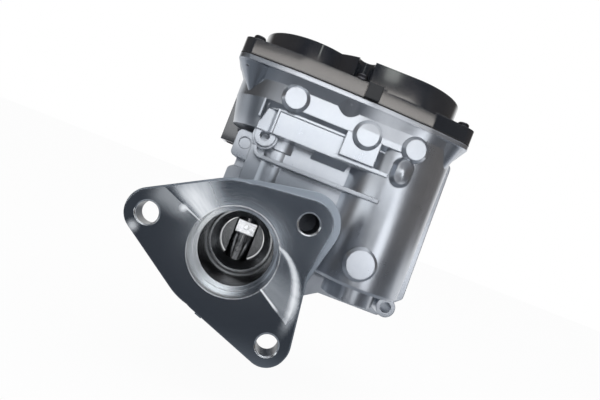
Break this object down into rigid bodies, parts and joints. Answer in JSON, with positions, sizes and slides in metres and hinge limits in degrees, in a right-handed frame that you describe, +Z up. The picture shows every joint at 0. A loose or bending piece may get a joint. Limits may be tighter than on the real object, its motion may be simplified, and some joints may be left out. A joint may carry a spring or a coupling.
{
  "type": "exhaust gas recirculation valve",
  "caption": "Motor-driven exhaust gas recirculation valve: butterfly in a flanged cast housing, gear case with domed cover, motor barrel.",
  "frame": {"origin": "centre of the gas bore on the machined face of the three-hole flange", "axes": "-Y out of the gas flange, +X along the gear case towards the motor, +Z up the valve shaft towards the cover"},
  "size_m": [0.1376, 0.088, 0.1312],
  "materials": {
    "cast_aluminium": "as cast, satin",
    "black_plastic": "smooth moulded, slight gloss",
    "gasket_rubber": "matt",
    "zinc_steel": "zinc plated",
    "bright_steel": "turned",
    "bronze": "sintered",
    "gear_plastic": "moulded",
    "brass": "machined",
    "can_steel": "drawn",
    "ferrite": "sintered",
    "laminations": "stacked sheet",
    "copper": "enamelled wire",
    "carbon": "pressed",
    "board": "coated laminate",
    "spring_steel": "oiled"
  },
  "bodies": {
    "valve_body": {"housing": "cast_aluminium", "cover": "black_plastic", "cover_gasket": "gasket_rubber", "cover_screws": "zinc_steel", "throat_sleeve": "bright_steel", "upper_bush": "bronze", "lower_bush": "bronze", "shaft_seal": "gasket_rubber", "shaft_plug": "can_steel", "return_spring": "spring_steel", "sensor_board": "board", "intermediate_pin": "bright_steel", "motor_can": "can_steel", "motor_end_cap": "black_plastic", "motor_magnets": "ferrite", "motor_bearings": "bronze", "motor_brushes": "carbon", "motor_terminals": "brass", "motor_screws": "zinc_steel", "wave_washer": "spring_steel", "connector_pins": "brass", "stop_screw": "zinc_steel", "rear_seal": "gasket_rubber"},
    "valve": {"butterfly_plate": "bright_steel", "valve_shaft": "bright_steel", "plate_screws": "zinc_steel", "output_gear": "gear_plastic", "gear_nut": "zinc_steel", "magnet_carrier": "gear_plastic", "sensor_magnet": "ferrite"},
    "intermediate": {"intermediate_gear": "gear_plastic"},
    "rotor": {"motor_shaft": "bright_steel", "motor_pinion": "brass", "rotor_core": "laminations", "rotor_windings": "copper", "commutator": "copper"}
  },
  "joints": [
    {"name": "motor_spin", "type": "hinge", "parent": "valve_body", "child": "rotor", "pos_m": [0.057, 0.051, 0], "axis": [0, 0, 1], "range_deg": [0, 1314]},
    {"name": "intermediate_turn", "type": "hinge", "parent": "valve_body", "child": "intermediate", "pos_m": [0.02879, 0.05429, 0], "axis": [0, 0, 1], "range_deg": [-352, 0]},
    {"name": "valve_turn", "type": "hinge", "parent": "valve_body", "child": "valve", "pos_m": [0, 0.055, 0], "axis": [0, 0, 1], "range_deg": [0, 85], "stiffness_Nm_per_rad": 0.05, "springref_deg": -28.65}
  ],
  "couplings": [
    {"joint": "valve_turn", "follows": "motor_spin", "ratio": 0.064655},
    {"joint": "intermediate_turn", "follows": "motor_spin", "ratio": -0.26786}
  ]
}
